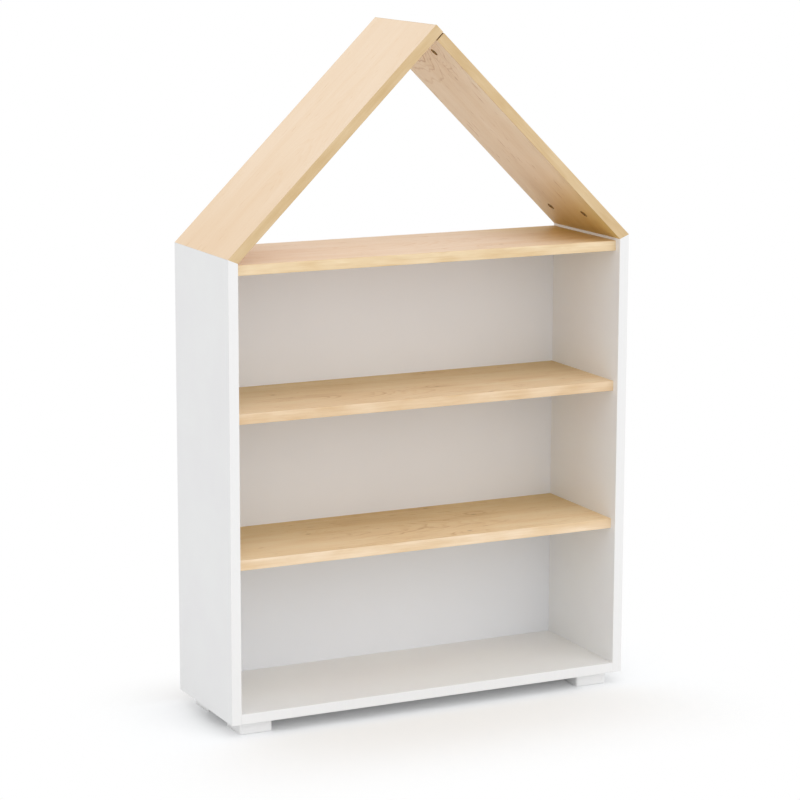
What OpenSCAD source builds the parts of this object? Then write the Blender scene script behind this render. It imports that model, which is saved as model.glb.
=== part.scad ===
// House-shaped bookcase for a child's room. A white case of two side panels,
// a bottom panel and a nailed-on back carries two shelves and a top board in
// oak decor, under an open gable of two roof boards. Cam fittings and dowels
// hold the boards, hinged bolts cross the mitred eaves, and four feet carry it.
// Millimetres, +Z up. The origin is on the floor, at the middle of the width
// and of the depth.

/* [Case] */
// Width over the two side panels
case_w = 764; // [560:1:1100]
// Depth of the side panels and the roof, front edge to rear edge
side_d = 240; // [200:1:400]
// Height of a side panel at its outer face
side_h = 800; // [760:1:1000]
// Thickness of the side panels, shelves and roof boards
board_t = 18; // [16:0.5:22]

/* [Shelves] */
// Clear height of the lowest bay
lower_bay_h = 248; // [180:1:270]
// Clear height of the middle bay
middle_bay_h = 234; // [180:1:250]
// Strip of side panel left above the top board, under the roof
top_reveal = 4.5; // [0:0.5:12]
// Distance of the shelf and top board fronts behind the side panel fronts
shelf_setback = 15; // [0:1:40]

/* [Roof] */
// Height of the ridge above the eaves
roof_rise = 376; // [250:1:500]
// Width of the joint line that stays open at the ridge
ridge_gap = 2.2; // [0:0.1:2.5]

/* [Edge bands] */
// Thickness of the edge bands
band_t = 1; // [0.4:0.1:2]

/* [Back panel] */
// Thickness of the back panel
back_t = 3; // [2.5:0.1:5]
// Distance of the back panel's edges from the case's outer faces
back_margin = 1.5; // [0.5:0.5:5]
// Diameter of a back panel nail
nail_d = 1.4; // [1.2:0.1:2]
// Length of a nail under its head
nail_l = 18; // [12:1:25]
// Diameter of a nail head
nail_head_d = 3.6; // [3:0.1:5]
// Height of a nail head
nail_head_h = 0.6; // [0.4:0.1:1]
// Greatest distance between two nails in a row
nail_pitch = 160; // [80:5:250]
// Distance of a row's end nails from the case's corners
nail_end = 40; // [25:1:80]

/* [Feet] */
// Height of the feet
foot_h = 24; // [18:1:60]
// Width of a foot
foot_w = 60; // [48:1:80]
// Depth of a foot, front to rear
foot_d = 60; // [48:1:80]
// Distance of a foot from the case's outer side face
foot_side_inset = 22; // [19:1:40]
// Distance of a foot from the case's front or rear edge
foot_end_inset = 18; // [5:1:30]
// Corner radius of a foot
foot_r = 4; // [2:0.5:10]
// Wall, floor and rib thickness of the moulded foot
foot_wall = 2.5; // [2:0.1:4]
// Diameter of a foot screw
screw_d = 4; // [3:0.5:5]
// Length of a foot screw under its head
screw_l = 20; // [16:1:24]
// Diameter of a foot screw's head
screw_head_d = 8; // [7:0.5:10]
// Height of a foot screw's head
screw_head_h = 2.6; // [2:0.1:4]
// Thickness of the seat that a screw head clamps
screw_seat_t = 7; // [5:0.5:10]
// Distance of the screws from the foot's inward edge
screw_edge = 18; // [12:1:22]

/* [Cam fittings] */
// Diameter of a cam's pocket in the board
cam_pocket_d = 15; // [14:0.5:20]
// Distance from a board's end to its cam centre
cam_setback = 34; // [24:1:44]
// Distance of the shelves' cams from the front and rear edges of the sides
shelf_cam_inset = 37; // [32:1:45]
// Distance of the roof's cams from its front and rear edges
roof_cam_inset = 60; // [54:1:75]
// Depth of a cam's face below the board's surface
cam_sink = 1.5; // [0.5:0.1:2]
// Shift of a cam's chamber away from the joint, which makes the cam pull
cam_throw = 1.2; // [0.8:0.1:1.3]
// Diameter of a bolt's shank and head
bolt_d = 7; // [6:0.1:7.2]
// Diameter of a bolt's neck, which a cam's wall hooks round
bolt_neck_d = 4; // [3:0.1:4.4]
// Diameter of a bolt's thread
bolt_thread_d = 5; // [4:0.5:6]
// Length of a bolt's thread
bolt_thread_l = 11; // [9:0.5:13]

/* [Eaves fittings] */
// Distance from the hinge of an eaves bolt to its cam centre
eaves_cam_reach = 60; // [50:1:90]
// Length of the threaded half below the hinge
eaves_screw_l = 40; // [30:1:60]
// Diameter of the hinge pin
hinge_pin_d = 2; // [1.6:0.1:2.4]

/* [Dowels] */
// Diameter of a dowel
dowel_d = 8; // [6:0.5:10]
// Length of a dowel
dowel_l = 30; // [25:1:40]
// Length of a dowel that stands in the face of the other panel
dowel_in_face = 10; // [8:0.5:12]
// Chamfer round a dowel's ends
dowel_chamfer = 1; // [0.4:0.1:1.5]

/* [Fits] */
// Play round threads, dowels, nails and cams in their holes
pin_play = 0.1; // [0.05:0.05:0.2]
// Play round a bolt's shank in its bore
shank_play = 0.5; // [0.3:0.1:0.8]
// Free space past the end of a pin in its blind hole
end_play = 0.6; // [0.3:0.1:1]

/* [Hidden] */
$fn = 48;
eps = 0.01;
past_face = 8;

white_decor = "#F2F2F1";
white_edge = "#F6F6F5";
oak_decor = "#D9BC92";
oak_edge = "#E3C99C";
white_plastic = "#ECECEB";
zinc = "#A9ABAD";
steel = "#C4C6C8";
beech = "#CFA877";

// Planes of the case, from front to rear
total_d = side_d + back_t + nail_head_h;
front_y = -total_d / 2;
rear_y = front_y + side_d;
middle_y = (front_y + rear_y) / 2;
back_y = rear_y + back_t;
shelf_cam_ys = [front_y + shelf_cam_inset, rear_y - shelf_cam_inset];
roof_cam_ys = [front_y + roof_cam_inset, rear_y - roof_cam_inset];

// Planes of the case, from side to side
outer_x = case_w / 2;
inner_x = outer_x - board_t;

// Roof lines, seen from the front
pitch = atan2(roof_rise, outer_x);
eaves_z = foot_h + side_h;
ridge_z = eaves_z + roof_rise;
ridge_shift = ridge_gap / sin(2 * pitch);
mitre_drop = board_t * tan((90 - pitch) / 2);
hinge_at = [outer_x - board_t / 2, eaves_z - mitre_drop / 2];

// Heights of the boards' undersides
bottom_z = foot_h;
lower_shelf_z = bottom_z + board_t + lower_bay_h;
upper_shelf_z = lower_shelf_z + board_t + middle_bay_h;
top_board_z = eaves_z - mitre_drop - top_reveal - board_t;
board_zs = [bottom_z, lower_shelf_z, upper_shelf_z, top_board_z];

// Foot
screw_spacing = foot_w / 2;
tower_d = screw_head_d + 1 + 2 * foot_wall;

// Cam fitting
cam_d = cam_pocket_d - 2 * pin_play;
chamber_h = bolt_d + 0.4;
chamber_d = bolt_d + 3.4;
cam_top = chamber_h / 2 + 0.8;
cam_mouth = board_t / 2 - cam_sink;
slot_h = bolt_neck_d + 0.8;
slot_sweep = 120;
window_d = bolt_d + 0.6;
cross_l = 7;
cross_w = 1.4;
cross_depth = 2.6;
head_tip = 2.6;
head_back = chamber_d / 2 - cam_throw - 0.6;
neck_end = cam_pocket_d / 2 + 1;
shank_bore_d = bolt_d + 2 * shank_play;

// Hinge of an eaves bolt
eye_d = 5.2;
tongue_t = 2;
ear_t = 1.8;
ear_gap = 0.1;
hinge_w = tongue_t + 2 * (ear_t + ear_gap);
hinge_clear = eye_d / 2 + 0.4;

// The point of the roof at these depths under the left and right outer faces
function roof_point(under_left, under_right) =
    [0, ridge_z]
    + under_left / sin(2 * pitch) * [cos(pitch), -sin(pitch)]
    + under_right / sin(2 * pitch) * [-cos(pitch), -sin(pitch)];

// Evenly spaced values from one end to the other, no further apart than pitch
function spread(low, high, step) =
    let (n = ceil((high - low) / step))
    [for (i = [0 : n]) low + (high - low) * i / n];

// Outlines seen from the front
side_outline = [
    [inner_x, foot_h], [outer_x, foot_h],
    [outer_x, eaves_z], [inner_x, eaves_z - mitre_drop]
];
right_roof_outline = [
    [outer_x, eaves_z], roof_point(board_t + ridge_gap, 0),
    roof_point(board_t + ridge_gap, board_t), [inner_x, eaves_z - mitre_drop]
];

// The left roof board's outline, with its end this deep under the right face
function left_roof_outline(end_depth) = [
    [-outer_x, eaves_z], roof_point(0, end_depth),
    roof_point(board_t, end_depth), [-inner_x, eaves_z - mitre_drop]
];

// Nail places in the back, as [x, z]
side_nail_zs = spread(foot_h + nail_end, top_board_z - nail_end, nail_pitch);
board_nail_xs = spread(-outer_x + 2 * nail_end, outer_x - 2 * nail_end, nail_pitch);
side_nails = [
    for (x = [-1, 1] * (outer_x - board_t / 2), z = side_nail_zs) [x, z]
];
board_nails = [for (z = board_zs, x = board_nail_xs) [x, z + board_t / 2]];

// A plate with the given front outline, between two planes of depth
module plate(outline, y0, y1) {
    translate([0, y1, 0])
        rotate([90, 0, 0])
            linear_extrude(y1 - y0)
                polygon(outline);
}

// A block with rounded upright edges, centred in plan
module rounded_block(w, d, h, r) {
    translate([-w / 2 + r, -d / 2, 0]) cube([w - 2 * r, d, h]);
    translate([-w / 2, -d / 2 + r, 0]) cube([w, d - 2 * r, h]);
    for (x = [-1, 1], y = [-1, 1])
        translate([x * (w / 2 - r), y * (d / 2 - r), 0])
            cylinder(r = r, h = h);
}

// A cylinder along X, from x0 to x1
module rod_x(d, x0, x1) {
    translate([x0, 0, 0])
        rotate([0, 90, 0])
            cylinder(d = d, h = x1 - x0);
}

// Joint frames. In each, the origin is at mid-thickness on the joint's face,
// +X points into the panel that takes the bolt, and -Z out of the cam's mouth.
module at_board_joint(z, y) {
    for (turn = [0, 180])
        rotate([0, 0, turn])
            translate([inner_x, turn == 0 ? y : -y, z + board_t / 2])
                children();
}

module at_ridge_joint(y) {
    joint = roof_point(board_t, board_t / 2);
    translate([joint.x, y, joint.y])
        rotate([0, 180 + pitch, 0])
            rotate([180, 0, 0])
                children();
}

// Here +X points down the right slope, and the origin is the bolt's hinge
module at_right_eaves(y) {
    translate([hinge_at.x, y, hinge_at.y])
        rotate([0, pitch, 0])
            children();
}

module at_both_eaves(y) {
    at_right_eaves(y) children();
    mirror([1, 0, 0]) at_right_eaves(y) children();
}

// Hole for a cam, at the cam's centre
module cam_pocket() {
    translate([0, 0, -board_t / 2 - eps])
        cylinder(
            d = cam_pocket_d,
            h = board_t / 2 + cam_top + end_play / 2 + eps
        );
}

// Cam and shank holes in a board whose end is at x = -gap
module cam_side_holes(gap) {
    translate([-gap - cam_setback, 0, 0]) cam_pocket();
    rod_x(shank_bore_d, -gap - cam_setback, past_face);
}

// Hole for a bolt's thread in the other panel's face
module thread_hole() {
    rod_x(bolt_thread_d + 2 * pin_play, -past_face, bolt_thread_l + end_play);
}

// Dowel holes either side of the joint
module dowel_end_hole() {
    rod_x(dowel_d + 2 * pin_play, -(dowel_l - dowel_in_face) - end_play, past_face);
}

module dowel_face_hole() {
    rod_x(dowel_d + 2 * pin_play, -past_face, dowel_in_face + end_play);
}

// Cam: a round housing whose eccentric chamber draws the bolt's head
module cam() {
    difference() {
        translate([0, 0, -cam_mouth]) cylinder(d = cam_d, h = cam_mouth + cam_top);
        translate([-cam_throw, 0, -chamber_h / 2]) cylinder(d = chamber_d, h = chamber_h);
        rotate([0, 0, -30])
            rotate_extrude(angle = slot_sweep)
                translate([cam_d / 4, -slot_h / 2])
                    square([cam_d, slot_h]);
        rotate([0, 0, slot_sweep - 30]) rod_x(window_d, 0, cam_d);
        translate([0, 0, -cam_mouth - eps]) {
            translate([-cross_l / 2, -cross_w / 2, 0]) cube([cross_l, cross_w, cross_depth]);
            translate([-cross_w / 2, -cross_l / 2, 0]) cube([cross_w, cross_l, cross_depth]);
        }
    }
}

// Turned head and neck of a bolt at the cam's centre, and its shank to x1
module bolt_head_and_shank(x1) {
    rotate([0, 90, 0])
        rotate_extrude()
            polygon([
                [0, -head_tip], [bolt_d / 4, -head_tip],
                [bolt_d / 2, -head_tip / 3], [bolt_d / 2, head_back / 4],
                [bolt_neck_d / 2, head_back], [bolt_neck_d / 2, neck_end],
                [bolt_d / 2, neck_end + 1], [bolt_d / 2, x1], [0, x1]
            ]);
}

// Bolt: head at the cam, thread in the face at x = 0
module cam_bolt() {
    translate([-cam_setback, 0, 0]) bolt_head_and_shank(cam_setback);
    rod_x(bolt_thread_d, -eps, bolt_thread_l);
}

module dowel() {
    x0 = dowel_in_face - dowel_l;
    end_r = dowel_d / 2 - dowel_chamfer;
    rotate([0, 90, 0])
        rotate_extrude()
            polygon([
                [0, x0], [end_r, x0], [dowel_d / 2, x0 + dowel_chamfer],
                [dowel_d / 2, dowel_in_face - dowel_chamfer],
                [end_r, dowel_in_face], [0, dowel_in_face]
            ]);
}

// White panels
module side_panel() {
    color(white_decor)
        difference() {
            plate(side_outline, front_y + band_t, rear_y);
            for (z = board_zs) {
                for (y = shelf_cam_ys) at_board_joint(z, y) thread_hole();
                at_board_joint(z, middle_y) dowel_face_hole();
            }
            for (y = roof_cam_ys) eaves_screw_hole(y);
            nail_holes(side_nails);
        }
}

module side_panel_right() {
    side_panel();
}

module side_panel_left() {
    mirror([1, 0, 0]) side_panel();
}

// A board between the sides, with the holes for its fittings
module shelf_board(z, front) {
    difference() {
        translate([-inner_x, front + band_t, z])
            cube([2 * inner_x, rear_y - front - band_t, board_t]);
        for (y = shelf_cam_ys) at_board_joint(z, y) cam_side_holes(0);
        at_board_joint(z, middle_y) dowel_end_hole();
        nail_holes(board_nails);
    }
}

module bottom_panel() {
    color(white_decor)
        difference() {
            shelf_board(bottom_z, front_y);
            at_feet() at_foot_screws() screw_pilot();
        }
}

module lower_shelf() {
    color(oak_decor) shelf_board(lower_shelf_z, front_y + shelf_setback);
}

module upper_shelf() {
    color(oak_decor) shelf_board(upper_shelf_z, front_y + shelf_setback);
}

module top_board() {
    color(oak_decor) shelf_board(top_board_z, front_y + shelf_setback);
}

// Roof boards
module eaves_board_holes() {
    for (y = roof_cam_ys)
        at_both_eaves(y) {
            translate([-eaves_cam_reach, 0, 0]) cam_pocket();
            rod_x(shank_bore_d, -eaves_cam_reach, shank_bore_d);
        }
}

module roof_board_left() {
    color(oak_decor)
        difference() {
            plate(left_roof_outline(band_t), front_y + band_t, rear_y - band_t);
            eaves_board_holes();
            for (y = roof_cam_ys) at_ridge_joint(y) thread_hole();
            at_ridge_joint(middle_y) dowel_face_hole();
        }
}

module roof_board_right() {
    color(oak_decor)
        difference() {
            plate(right_roof_outline, front_y + band_t, rear_y - band_t);
            eaves_board_holes();
            for (y = roof_cam_ys) at_ridge_joint(y) cam_side_holes(ridge_shift);
            at_ridge_joint(middle_y) dowel_end_hole();
        }
}

// Back panel and its nails
module nail_holes(places) {
    for (p = places)
        translate([p.x, back_y + eps, p.y])
            rotate([90, 0, 0])
                cylinder(d = nail_d + 2 * pin_play, h = nail_l + end_play);
}

module back_panel() {
    low = foot_h + back_margin;
    high = top_board_z + board_t - back_margin;
    color(white_decor)
        difference() {
            translate([-outer_x + back_margin, rear_y, low])
                cube([case_w - 2 * back_margin, back_t, high - low]);
            nail_holes(concat(side_nails, board_nails));
        }
}

module back_nails() {
    color(steel)
        for (p = concat(side_nails, board_nails))
            translate([p.x, back_y, p.y])
                rotate([90, 0, 0]) {
                    cylinder(d = nail_d, h = nail_l);
                    translate([0, 0, -nail_head_h]) cylinder(d = nail_head_d, h = nail_head_h);
                }
}

// Edge bands
module side_band_right() {
    color(white_edge) plate(side_outline, front_y, front_y + band_t);
}

module side_band_left() {
    mirror([1, 0, 0]) side_band_right();
}

module shelf_band(z, front) {
    translate([-inner_x, front, z]) cube([2 * inner_x, band_t, board_t]);
}

module bottom_band() {
    color(white_edge) shelf_band(bottom_z, front_y);
}

module lower_shelf_band() {
    color(oak_edge) shelf_band(lower_shelf_z, front_y + shelf_setback);
}

module upper_shelf_band() {
    color(oak_edge) shelf_band(upper_shelf_z, front_y + shelf_setback);
}

module top_board_band() {
    color(oak_edge) shelf_band(top_board_z, front_y + shelf_setback);
}

module roof_band_left_front() {
    color(oak_edge) plate(left_roof_outline(0), front_y, front_y + band_t);
}

module roof_band_left_rear() {
    color(oak_edge) plate(left_roof_outline(0), rear_y - band_t, rear_y);
}

module roof_band_right_front() {
    color(oak_edge) plate(right_roof_outline, front_y, front_y + band_t);
}

module roof_band_right_rear() {
    color(oak_edge) plate(right_roof_outline, rear_y - band_t, rear_y);
}

// Band on the left roof board's upper end, flush with the right board's face
module ridge_band() {
    color(oak_edge)
        plate(
            [
                roof_point(0, 0), roof_point(board_t, 0),
                roof_point(board_t, band_t), roof_point(0, band_t)
            ],
            front_y + band_t,
            rear_y - band_t
        );
}

// Feet. Each frame has its origin at the foot's centre on the floor, with +Y
// towards the foot's outward end.
module at_foot(x_side, y_side) {
    x = outer_x - foot_side_inset - foot_w / 2;
    y = side_d / 2 - foot_end_inset - foot_d / 2;
    translate([x_side * x, middle_y + y_side * y, 0])
        rotate([0, 0, y_side > 0 ? 0 : 180])
            children();
}

module at_feet() {
    for (x_side = [-1, 1], y_side = [-1, 1]) at_foot(x_side, y_side) children();
}

module at_foot_screws() {
    for (x = [-1, 1] * screw_spacing / 2)
        translate([x, screw_edge - foot_d / 2, foot_h - screw_seat_t])
            children();
}

module screw_pilot() {
    cylinder(d = screw_d + 2 * pin_play, h = screw_l + end_play);
}

// Moulded foot: a tub open towards the case, with cross ribs and screw towers
module foot() {
    color(white_plastic)
        difference() {
            union() {
                difference() {
                    rounded_block(foot_w, foot_d, foot_h, foot_r);
                    translate([0, 0, foot_wall])
                        rounded_block(
                            foot_w - 2 * foot_wall,
                            foot_d - 2 * foot_wall,
                            foot_h,
                            foot_r - foot_wall / 2
                        );
                }
                translate([-foot_w / 2 + foot_wall / 2, -foot_wall / 2, foot_wall / 2])
                    cube([foot_w - foot_wall, foot_wall, foot_h - foot_wall / 2]);
                translate([-foot_wall / 2, -foot_d / 2 + foot_wall / 2, foot_wall / 2])
                    cube([foot_wall, foot_d - foot_wall, foot_h - foot_wall / 2]);
                at_foot_screws()
                    translate([0, 0, screw_seat_t - foot_h + foot_wall / 2])
                        cylinder(d = tower_d, h = foot_h - foot_wall / 2);
            }
            at_foot_screws() {
                translate([0, 0, -foot_h]) cylinder(d = screw_head_d + 1, h = foot_h);
                screw_pilot();
            }
        }
}

module foot_front_left() {
    at_foot(-1, -1) foot();
}

module foot_front_right() {
    at_foot(1, -1) foot();
}

module foot_rear_left() {
    at_foot(-1, 1) foot();
}

module foot_rear_right() {
    at_foot(1, 1) foot();
}

// Pan-head screws with a cross recess
module foot_screw() {
    difference() {
        union() {
            cylinder(d = screw_d, h = screw_l);
            translate([0, 0, -screw_head_h])
                cylinder(d1 = screw_head_d * 0.7, d2 = screw_head_d, h = screw_head_h);
        }
        translate([0, 0, -screw_head_h - eps])
            for (turn = [0, 90])
                rotate([0, 0, turn])
                    translate([-screw_d / 2, -0.5, 0])
                        cube([screw_d, 1, screw_head_h * 0.6]);
    }
}

module foot_screws() {
    color(steel) at_feet() at_foot_screws() foot_screw();
}

// Cams and bolts
module board_cams() {
    color(zinc)
        for (z = board_zs, y = shelf_cam_ys)
            at_board_joint(z, y) translate([-cam_setback, 0, 0]) cam();
}

module board_bolts() {
    color(steel) for (z = board_zs, y = shelf_cam_ys) at_board_joint(z, y) cam_bolt();
}

module ridge_cams() {
    color(zinc)
        for (y = roof_cam_ys)
            at_ridge_joint(y) translate([-ridge_shift - cam_setback, 0, 0]) cam();
}

module ridge_bolts() {
    color(steel)
        for (y = roof_cam_ys)
            at_ridge_joint(y) translate([-ridge_shift, 0, 0]) cam_bolt();
}

module eaves_cams() {
    color(zinc)
        for (y = roof_cam_ys)
            at_both_eaves(y) translate([-eaves_cam_reach, 0, 0]) cam();
}

// Dowels
module board_dowels() {
    color(beech) for (z = board_zs) at_board_joint(z, middle_y) dowel();
}

module ridge_dowel() {
    color(beech) at_ridge_joint(middle_y) dowel();
}

// Hinged bolts across the eaves. The screw half stands upright in the side
// panel with a fork at its top, and the rod half lies in the roof board.
module at_right_hinge(y) {
    translate([hinge_at.x, y, hinge_at.y]) children();
}

module at_both_hinges(y) {
    at_right_hinge(y) children();
    mirror([1, 0, 0]) at_right_hinge(y) children();
}

module eaves_screw_hole(y) {
    at_right_hinge(y) {
        translate([0, 0, -eaves_screw_l - end_play])
            cylinder(d = bolt_thread_d + 2 * pin_play, h = eaves_screw_l);
        translate([0, 0, -eaves_screw_l / 4])
            cylinder(d = shank_bore_d, h = eaves_screw_l);
    }
}

// A round plate across the hinge, from y0 to y1
module hinge_eye(d, y0, y1) {
    translate([0, y1, 0])
        rotate([90, 0, 0])
            cylinder(d = d, h = y1 - y0);
}

module eaves_screw() {
    fork_in = tongue_t / 2 + ear_gap;
    root = -eaves_screw_l / 4 + end_play;
    difference() {
        union() {
            translate([0, 0, -eaves_screw_l])
                cylinder(d = bolt_thread_d, h = eaves_screw_l + root + eps);
            intersection() {
                translate([0, 0, root]) cylinder(d = bolt_d, h = -root);
                translate([-eye_d / 2, -hinge_w / 2, root])
                    cube([eye_d, hinge_w, -root]);
            }
            hinge_eye(eye_d, -hinge_w / 2, hinge_w / 2);
        }
        translate([-bolt_d, -fork_in, -hinge_clear]) cube([2 * bolt_d, 2 * fork_in, bolt_d]);
        hinge_eye(hinge_pin_d + 2 * pin_play, -bolt_d, bolt_d);
    }
}

module eaves_screws() {
    color(steel) for (y = roof_cam_ys) at_both_hinges(y) eaves_screw();
}

module eaves_rod() {
    rod_end = eye_d / 2 + 1;
    translate([-eaves_cam_reach, 0, 0]) bolt_head_and_shank(eaves_cam_reach - rod_end);
    difference() {
        union() {
            hinge_eye(eye_d, -tongue_t / 2, tongue_t / 2);
            translate([-rod_end - eps, -tongue_t / 2, -eye_d / 2])
                cube([rod_end + eps, tongue_t, eye_d]);
        }
        hinge_eye(hinge_pin_d + 2 * pin_play, -bolt_d, bolt_d);
    }
}

module eaves_rods() {
    color(steel) for (y = roof_cam_ys) at_both_eaves(y) eaves_rod();
}

module eaves_pins() {
    color(steel)
        for (y = roof_cam_ys)
            at_both_hinges(y) hinge_eye(hinge_pin_d, -hinge_w / 2, hinge_w / 2);
}

side_panel_left();
side_panel_right();
bottom_panel();
lower_shelf();
upper_shelf();
top_board();
roof_board_left();
roof_board_right();
back_panel();
side_band_left();
side_band_right();
bottom_band();
lower_shelf_band();
upper_shelf_band();
top_board_band();
roof_band_left_front();
roof_band_left_rear();
roof_band_right_front();
roof_band_right_rear();
ridge_band();
foot_front_left();
foot_front_right();
foot_rear_left();
foot_rear_right();
foot_screws();
board_cams();
ridge_cams();
eaves_cams();
board_bolts();
ridge_bolts();
eaves_screws();
eaves_rods();
eaves_pins();
board_dowels();
ridge_dowel();
back_nails();
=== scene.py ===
import math

import bmesh
import bpy
from mathutils import Euler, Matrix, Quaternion, Vector


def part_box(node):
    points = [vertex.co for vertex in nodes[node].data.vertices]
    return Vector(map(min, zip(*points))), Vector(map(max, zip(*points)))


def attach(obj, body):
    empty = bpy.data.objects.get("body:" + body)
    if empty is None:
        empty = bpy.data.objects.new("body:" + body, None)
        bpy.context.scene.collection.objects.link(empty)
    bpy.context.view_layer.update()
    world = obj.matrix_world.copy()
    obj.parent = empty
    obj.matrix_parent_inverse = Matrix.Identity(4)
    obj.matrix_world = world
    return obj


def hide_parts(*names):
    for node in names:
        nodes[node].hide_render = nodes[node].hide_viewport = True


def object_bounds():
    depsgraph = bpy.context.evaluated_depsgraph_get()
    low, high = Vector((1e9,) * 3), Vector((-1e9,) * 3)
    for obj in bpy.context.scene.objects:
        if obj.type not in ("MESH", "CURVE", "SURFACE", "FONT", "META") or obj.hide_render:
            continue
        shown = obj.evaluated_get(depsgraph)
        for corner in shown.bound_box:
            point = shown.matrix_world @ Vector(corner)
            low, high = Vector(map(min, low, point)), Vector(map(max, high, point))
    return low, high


# House-shaped bookcase: white melamine case, oak decor shelves and roof,
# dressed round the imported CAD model. Metres, +Z up, front faces -Y.

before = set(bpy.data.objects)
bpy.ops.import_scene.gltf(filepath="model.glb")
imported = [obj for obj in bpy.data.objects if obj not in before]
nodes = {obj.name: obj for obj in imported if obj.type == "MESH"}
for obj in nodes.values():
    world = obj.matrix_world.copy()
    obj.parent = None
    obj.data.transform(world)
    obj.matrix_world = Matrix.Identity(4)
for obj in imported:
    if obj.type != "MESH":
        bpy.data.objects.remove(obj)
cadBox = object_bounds()
scene = bpy.context.scene
scene.view_settings.view_transform = "Standard"
mm = 0.001
print("frame loaded,", len(nodes), "nodes")


def fromHex(code):
    # sRGB hex to the linear colour that shader sockets take
    steps = [int(code[i:i + 2], 16) / 255 for i in (1, 3, 5)]
    linear = [s / 12.92 if s <= 0.04045 else ((s + 0.055) / 1.055) ** 2.4 for s in steps]
    return (*linear, 1.0)


def addNode(tree, kind, feeds=None, **settings):
    # one node, its settings, and what feeds its sockets: a link or a plain value
    node = tree.nodes.new(kind)
    for name, value in settings.items():
        setattr(node, name, value)
    for socket, source in (feeds or {}).items():
        if isinstance(source, bpy.types.NodeSocket):
            tree.links.new(source, node.inputs[socket])
        else:
            node.inputs[socket].default_value = source
    return node


def newMaterial(name):
    material = bpy.data.materials.new(name)
    material.use_nodes = True
    material.node_tree.nodes.clear()
    return material, material.node_tree


def setStops(ramp, levels, codes):
    # a hex colour at each level of the ramp
    line = ramp.color_ramp
    while len(line.elements) < len(codes):
        line.elements.new(0.5)
    for element, level, code in zip(line.elements, levels, codes):
        element.position = level
        element.color = fromHex(code)


def surfaceOut(tree, colour, roughness, height=None, depth=0.0, **sockets):
    # principled surface with an optional bump, depth in metres
    # a socket's name is given with _ for each space
    plain = {name.replace("_", " "): value for name, value in sockets.items()}
    shader = addNode(tree, "ShaderNodeBsdfPrincipled", {
        "Base Color": colour, "Roughness": roughness, **plain})
    if height is not None:
        bump = addNode(tree, "ShaderNodeBump", {
            "Height": height, "Distance": depth, "Strength": 1.0})
        tree.links.new(bump.outputs[0], shader.inputs["Normal"])
    addNode(tree, "ShaderNodeOutputMaterial", {"Surface": shader.outputs[0]})


# in the dictionaries of the finishes, levels are the values of the pattern at which the tones lie,
# and a pair of roughnesses is what the pattern's low and high parts have

whiteBoard = {
    "tones": ("#EFEFF0", "#F1F2F2"),  # white decor paper, faintly cloudy, under melamine resin
    "levels": (0.35, 0.65),
    "cloud": 111.1 * mm,
    "texture": 1.6 * mm,    # pearl texture of the press plate
    "textureDepth": 0.012 * mm,
    "roughness": (0.38, 0.48),
}


def whiteMelamine():
    # pressed melamine: an even white, a soft broad gloss, a hardly felt pearl texture
    material, tree = newMaterial("white_melamine_pearl")
    place = addNode(tree, "ShaderNodeTexCoord").outputs["Object"]
    cloud = addNode(tree, "ShaderNodeTexNoise", {
        "Vector": place, "Scale": 1 / whiteBoard["cloud"], "Detail": 3.0})
    tone = addNode(tree, "ShaderNodeValToRGB", {"Fac": cloud.outputs[0]})
    setStops(tone, whiteBoard["levels"], whiteBoard["tones"])
    pearl = addNode(tree, "ShaderNodeTexNoise", {
        "Vector": place, "Scale": 1 / whiteBoard["texture"], "Detail": 2.0})
    low, high = whiteBoard["roughness"]
    gloss = addNode(tree, "ShaderNodeMapRange", {
        "Value": pearl.outputs[0], "To Min": low, "To Max": high})
    surfaceOut(tree, tone.outputs[0], gloss.outputs[0],
               pearl.outputs[0], whiteBoard["textureDepth"])
    return material


whiteBand = {
    "tones": ("#EDEDED", "#F0F0F0"),
    "levels": (0.2, 0.8),
    "drawLine": (0.5 * mm, 166.7 * mm),  # width and height of an extrusion line
    "lineDepth": 0.006 * mm,
    "roughness": (0.29, 0.39),
}


def whiteEdgeBand():
    # extruded ABS: slightly glossier than the board, with faint upright lines
    material, tree = newMaterial("white_abs_edge_band")
    place = addNode(tree, "ShaderNodeTexCoord").outputs["Object"]
    width, height = whiteBand["drawLine"]
    drawn = addNode(tree, "ShaderNodeMapping", {
        "Vector": place, "Scale": (1 / width, 1 / width, 1 / height)})
    lines = addNode(tree, "ShaderNodeTexNoise", {
        "Vector": drawn.outputs[0], "Scale": 1.0, "Detail": 1.0})
    low, high = whiteBand["roughness"]
    gloss = addNode(tree, "ShaderNodeMapRange", {
        "Value": lines.outputs[0], "To Min": low, "To Max": high})
    tone = addNode(tree, "ShaderNodeValToRGB", {"Fac": lines.outputs[0]})
    setStops(tone, whiteBand["levels"], whiteBand["tones"])
    surfaceOut(tree, tone.outputs[0], gloss.outputs[0], lines.outputs[0], whiteBand["lineDepth"])
    return material


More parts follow.
